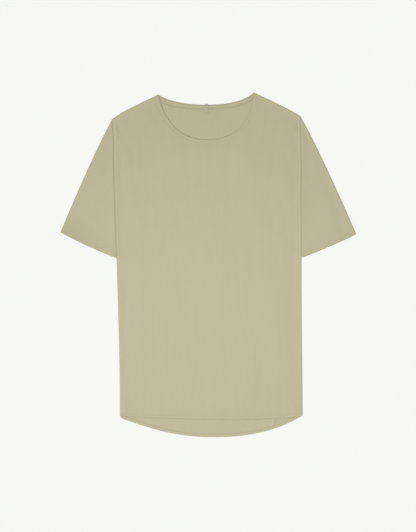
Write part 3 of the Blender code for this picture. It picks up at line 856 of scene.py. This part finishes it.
def stitches(name, rows):
    """A joined mesh of the stitches in some needle rows, each with a depth."""
    points, faces = [], []
    for row, depth in rows:
        kind = next(kind for kind in ROW_ENDS if kind in row)
        line, layer = trimmed(ROWS[row][0], *ROW_ENDS[kind]), ROWS[row][1]
        length = length_along(line)[-1]
        count = int(length / STITCH_PITCH)
        middles = (np.arange(count) + 0.5) * length / count
        places = at_distance(line, middles)
        ahead = at_distance(line, middles + AHEAD) - at_distance(line, middles - AHEAD)
        heading = ahead / np.linalg.norm(ahead, axis=1)[:, None]
        inward = SUNK * (-1.0 if layer == "front" else 1.0) * (1 - depth / FOLD_RADIUS)
        z = surface(places, layer, depth) + inward
        side = np.stack((-heading[:, 1], heading[:, 0]), axis=1)
        for k in range(count):
            flat = (places[k] + stitch_points[:, :1] * heading[k] + stitch_points[:, 1:2] * side[k])
            start = len(points)
            points.extend(np.column_stack((flat, z[k] + stitch_points[:, 2])) * MM)
            faces.extend([[start + corner for corner in face] for face in stitch_faces])
    mesh = bpy.data.meshes.new(name)
    mesh.from_pydata([tuple(point) for point in points], [], faces)
    mesh.shade_smooth()
    piece = bpy.data.objects.new(name, mesh)
    bpy.context.collection.objects.link(piece)
    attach(piece, "root")
    print(f"{name}: {len(faces) // len(stitch_faces)} stitches")
    return piece


threads = []
for layer in LAYERS:
    rows = [(f"{layer}_hem", 0.0)]
    if layer == "back":
        rows.append(("back_hem", TURNED))
    threads.append(stitches(f"thread_{layer}_hem", rows))
    for side in SIDES:
        rows = [(f"{layer}_{edge}_{side}", 0.0) for edge in ("cuff", "armhole")]
        threads.append(stitches(f"thread_{layer}_{side}", rows))
    rows = [(f"{layer}_neck_{side}", 0.0) for side in SIDES]
    threads.append(stitches(f"thread_{layer}_neck", rows))

# %% [markdown]
# ## Finish: cotton jersey
#
# The cloth is fine single jersey, dyed an olive beige. Its face is made of columns of V
# shaped loops, called wales, crossed by courses. Real wales are about 0.85 mm apart, which
# this picture can't show, so they are drawn 1.7 mm apart. The yarn is matt and a little
# hairy, which sheen gives, and cheap yarn varies in thickness, which shows as very faint
# streaks along the wales. Seams, needle rows and folded edges get painted shade, and a few
# places a little painted light.

# %% Helpers for node materials
JERSEY = "BFBA9B"
BAND_JERSEY = JERSEY
LOOP_TAPE = "BEB99E"
THREAD_COLOUR = "BBB697"
DARKEST_PAINTED_SHADE = 0.75  # brightness of cloth under the darkest painted shade
SPECULAR = 0.25
SHEEN_ROUGHNESS = 0.5


def linear(colour):
    """Linear RGBA of an sRGB hex colour."""
    values = [int(colour[k:k + 2], 16) / 255 for k in (0, 2, 4)]
    return [v / 12.92 if v <= 0.04045 else ((v + 0.055) / 1.055) ** 2.4 for v in values] + [1.0]


def add_node(material, kind, settings=None, **links):
    """Adds a node, with settings for its inputs and properties, and links to its inputs."""
    tree = material.node_tree
    node = tree.nodes.new(kind)
    for name, value in (settings or {}).items():
        if isinstance(name, int) or name in node.inputs:
            node.inputs[name].default_value = value
        else:
            setattr(node, name, value)
    for name, source in links.items():
        tree.links.new(source, node.inputs[name])
    return node


def math_node(material, operation, *terms):
    """A Math node's result, from sockets and numbers."""
    node = add_node(material, "ShaderNodeMath", {"operation": operation})
    for socket, term in zip(node.inputs, terms):
        if isinstance(term, (int, float)):
            socket.default_value = term
        else:
            material.node_tree.links.new(term, socket)
    return node.outputs[0]


def principled(name, sockets):
    """A Principled material and its shader, with constants set on its own sockets."""
    material = bpy.data.materials.new(name)
    material.use_nodes = True
    shader = material.node_tree.nodes["Principled BSDF"]
    for socket, value in sockets.items():
        shader.inputs[socket].default_value = value
    return material, shader


def cloth_shader(name, roughness, sheen):
    return principled(name, {"Roughness": roughness, "Specular IOR Level": SPECULAR,
                             "Sheen Weight": sheen, "Sheen Roughness": SHEEN_ROUGHNESS})


def placed(material, output, scale, turn):
    """Texture coordinates, scaled, and turned about Z."""
    source = add_node(material, "ShaderNodeTexCoord")
    place = add_node(material, "ShaderNodeMapping",
                     {"Scale": (scale, scale, scale), "Rotation": (0.0, 0.0, turn)},
                     Vector=source.outputs[output])
    return place.outputs[0]


def brightness(material, value, at_none, at_whole, clamp=True):
    """A brightness between two, where a value goes from 0 to 1."""
    shade = add_node(material, "ShaderNodeMapRange",
                     {"clamp": clamp, "To Min": at_none, "To Max": at_whole}, Value=value)
    return shade.outputs[0]


def painted_shade(material):
    """Brightness from the painted shade and painted light, 1 where there is none."""
    press_and_painted_shade = add_node(material, "ShaderNodeAttribute", {"attribute_name": "press_and_painted_shade"})
    return brightness(material, press_and_painted_shade.outputs["Fac"], 1.0, DARKEST_PAINTED_SHADE, clamp=False)


def tint_and_relief(material, shader, colour, value, height, strength, deep):
    """Gives a shader a colour scaled by a value, and relief that is so many mm deep."""
    tone = add_node(material, "ShaderNodeVectorMath",
                    {"operation": "SCALE", 0: linear(colour)[:3]}, Scale=value)
    relief = add_node(material, "ShaderNodeBump", {"Strength": strength, "Distance": deep * MM},
                      Height=height)
    material.node_tree.links.new(tone.outputs[0], shader.inputs["Base Color"])
    material.node_tree.links.new(relief.outputs[0], shader.inputs["Normal"])


print("fibre colours:", JERSEY, BAND_JERSEY, LOOP_TAPE)

# %% Knitted jersey
WALE = 1.7             # real 0.85 mm, drawn coarser so that it shows
COURSE = 1.3           # real 0.65 mm
STREAK = 0.025         # how far the yarn's streaks change its brightness
V_SLOPE = 1.3          # how far a loop's legs slant, in courses
COLUMN_SHARE = 0.7     # share of the wale in the knit's height, the rest is its loops
FUZZ = 0.5             # and how much its hairs add
LOOP_SHADES = (0.965, 1.015)   # brightness between the wales and on them
STREAK_SCALE = (0.11, 0.012, 0.11)
FUZZ_SCALE = 0.9


def knitted_jersey(name, colour, grain, on_cloth=False):
    """Single jersey whose wales run along Y, turned by grain degrees.

    on_cloth follows the fabric's own coordinates instead, for a strip that bends.
    """
    material, shader = cloth_shader(name, roughness=0.92, sheen=0.22)
    output, scale = ("UV", 1.0) if on_cloth else ("Object", 1 / MM)
    place = placed(material, output, scale, math.radians(grain))
    split = add_node(material, "ShaderNodeSeparateXYZ", None, Vector=place)
    x, y = split.outputs[0], split.outputs[1]

    def times(first, second):
        return math_node(material, "MULTIPLY", first, second)

    # A wale is a rounded column, and its loops are V shapes that follow one another in it
    wale = math_node(material, "FRACT", times(x, 1 / WALE))
    off_centre = math_node(material, "ABSOLUTE", math_node(material, "SUBTRACT", wale, 0.5))
    slanted = math_node(material, "SUBTRACT", times(y, 1 / COURSE), times(off_centre, V_SLOPE))
    leg = math_node(material, "SINE", times(slanted, 2 * math.pi))
    column = math_node(material, "SINE", times(wale, math.pi))
    knit = math_node(material, "MULTIPLY_ADD", column, COLUMN_SHARE, times(leg, 1 - COLUMN_SHARE))

    # Yarn that varies in thickness leaves long faint streaks, and its hairs a fine fuzz
    long_way = add_node(material, "ShaderNodeMapping", {"Scale": STREAK_SCALE}, Vector=place)
    streak = add_node(material, "ShaderNodeTexNoise", {"Scale": 1.0, "Detail": 3.0},
                      Vector=long_way.outputs[0])
    fuzz = add_node(material, "ShaderNodeTexNoise", {"Scale": FUZZ_SCALE, "Detail": 4.0},
                    Vector=place)
    shade = brightness(material, streak.outputs["Fac"], 1 - STREAK, 1 + STREAK)
    loops = brightness(material, knit, *LOOP_SHADES)
    # the yarn's streaks and loops, times the painted shade
    value = times(times(shade, loops), painted_shade(material))
    rough = math_node(material, "MULTIPLY_ADD", fuzz.outputs["Fac"], FUZZ, knit)
    tint_and_relief(material, shader, colour, value, rough, strength=0.35, deep=0.25)
    return material


def sleeve_grain(side):
    """Degrees from a sleeve's own length to the body's, seen from above."""
    down = np.array(POINTS[f"cuff_{side}"]) - np.array(POINTS[f"shoulder_{side}"])
    return math.degrees(math.atan2(down[0], -down[1]))


body_jersey = knitted_jersey("cotton_jersey_body", JERSEY, 0.0)
for panel_piece in (front, back):
    panel_piece.data.materials.append(body_jersey)
for side, piece in zip(SIDES, sleeves):
    grain = sleeve_grain(side)
    piece.data.materials.append(knitted_jersey(f"cotton_jersey_sleeve_{side}", JERSEY, -grain))
    print(f"{piece.name}: grain turned {grain:.0f} degrees")
neck_band.data.materials.append(knitted_jersey("cotton_jersey_band", BAND_JERSEY, 0.0, True))

# %% [markdown]
# ## Finish: tape and thread
#
# The loop is a narrow woven cotton tape, a little greyer than the shirt, with the fine
# slanting ribs of a herringbone weave. The thread is spun polyester in the shirt's own
# colour: two plies twisted together, with slightly more shine than the knit.

# %% Woven tape and sewing thread
RIB = 0.9              # spacing of the tape's ribs; real 0.4 mm, drawn coarser
TWIST = 0.7            # spacing of the thread's twist
WAVE_PERIOD = math.pi / 10   # spacing of a Wave texture's bands where its scale is 1
RIB_SHADES = (0.88, 1.04)    # brightness between the ribs and on them


def ribbed(name, colour, roughness, sheen, spacing, lean):
    """A finish of fine parallel ribs that lean across Y, from a Wave texture."""
    material, shader = cloth_shader(name, roughness, sheen)
    rib = add_node(material, "ShaderNodeTexWave",
                   {"bands_direction": "X", "Scale": WAVE_PERIOD / spacing, "Distortion": 0.6,
                    "Detail": 1.0}, Vector=placed(material, "Object", 1 / MM, lean))
    shade = brightness(material, rib.outputs["Fac"], *RIB_SHADES)
    # the ribs, times the painted shade
    value = math_node(material, "MULTIPLY", shade, painted_shade(material))
    tint_and_relief(material, shader, colour, value, rib.outputs["Fac"], strength=0.4, deep=0.12)
    return material


loop.data.materials.append(ribbed("woven_cotton_tape", LOOP_TAPE, roughness=0.85, sheen=0.15,
                                  spacing=RIB, lean=0.7))
thread = ribbed("spun_polyester_thread", THREAD_COLOUR, roughness=0.65, sheen=0.1,
                spacing=TWIST, lean=0.6)
for piece in threads:
    piece.data.materials.append(thread)
print(f"{len(threads)} pieces of thread")

# %% [markdown]
# ## Floor, light and camera
#
# The photo is a cut-out: the shirt lies on an even, nearly white ground with almost no
# shadow. A floor that glows keeps that evenness from every side, and still takes a
# trace of contact shadow. The light is an even sky, a softbox over the lower belly,
# because the photo is lightest there and a little darker at the neck, and a weak light
# from the lower left, which gives hems and creases their shaded side.

# %% Floor
FLOOR_SIZE = 8000.0
FLOOR_COLOUR = "F8F9F4"
FLOOR_BELOW = 0.05     # keeps the floor clear of the shirt's underside
GLOW = 0.9             # share of the floor's brightness that it gives off by itself
bpy.ops.object.select_all(action="DESELECT")
bpy.ops.mesh.primitive_plane_add(size=FLOOR_SIZE * MM, location=(0.0, 0.0, -FLOOR_BELOW * MM))
floor = bpy.context.object
floor.name = "floor"
paper_colour = linear(FLOOR_COLOUR)
paper = principled("matt_backdrop_paper", {
    "Base Color": [value * (1 - GLOW) for value in paper_colour[:3]] + [1.0],
    "Emission Color": paper_colour, "Emission Strength": GLOW,
    "Roughness": 1.0, "Specular IOR Level": 0.0})[0]
floor.data.materials.append(paper)

# %% Light
SKY = 0.46
sky = bpy.data.worlds.new("soft_sky")
sky.use_nodes = True
sky.node_tree.nodes["Background"].inputs["Color"].default_value = (1.0, 1.0, 1.0, 1.0)
sky.node_tree.nodes["Background"].inputs["Strength"].default_value = SKY
bpy.context.scene.world = sky


def lamp(name, kind, place, aim, energy):
    """A lamp at a place, turned to a point, both in metres."""
    data = bpy.data.lights.new(name, kind)
    data.energy = energy
    light = bpy.data.objects.new(name, data)
    bpy.context.collection.objects.link(light)
    light.location = place
    light.rotation_euler = (Vector(aim) - Vector(place)).to_track_quat("-Z", "Y").to_euler()
    light.visible_camera = False
    return data


softbox = lamp("softbox_over_the_belly", "AREA", place=(-0.05, -0.17, 1.0),
               aim=(-0.05, -0.17, 0.0), energy=3.86)
softbox.size = 0.6
window = lamp("window_light", "SUN", place=(-1.7, -1.4, 2.4), aim=(0.0, 0.0, 0.0), energy=1.0)
window.angle = math.radians(25.0)
bpy.context.scene.view_settings.view_transform = "Standard"
print(f"sky {SKY}, softbox {softbox.energy} W, window light {window.energy} W/m2")

# %% Camera
PHOTO_WIDTH, PHOTO_HEIGHT = 416, 532
PHOTO_SCALE = 2.35     # millimetres for one pixel of the photo
PHOTO_CENTRE = (208.35, 264.75)   # the pixel that shows the middle of the shirt
DISTANCE = 5000.0
SENSOR = 36.0
camera_data = bpy.data.cameras.new("camera")
camera_data.sensor_width = SENSOR
camera_data.lens = SENSOR * DISTANCE / (PHOTO_HEIGHT * PHOTO_SCALE)
camera = bpy.data.objects.new("camera", camera_data)
bpy.context.collection.objects.link(camera)
camera.location = ((PHOTO_WIDTH / 2 - PHOTO_CENTRE[0]) * PHOTO_SCALE * MM,
                   (PHOTO_CENTRE[1] - PHOTO_HEIGHT / 2) * PHOTO_SCALE * MM,
                   (DISTANCE + FLAT_HEIGHT) * MM)
bpy.context.scene.camera = camera
print(f"lens {camera_data.lens:.1f} mm")
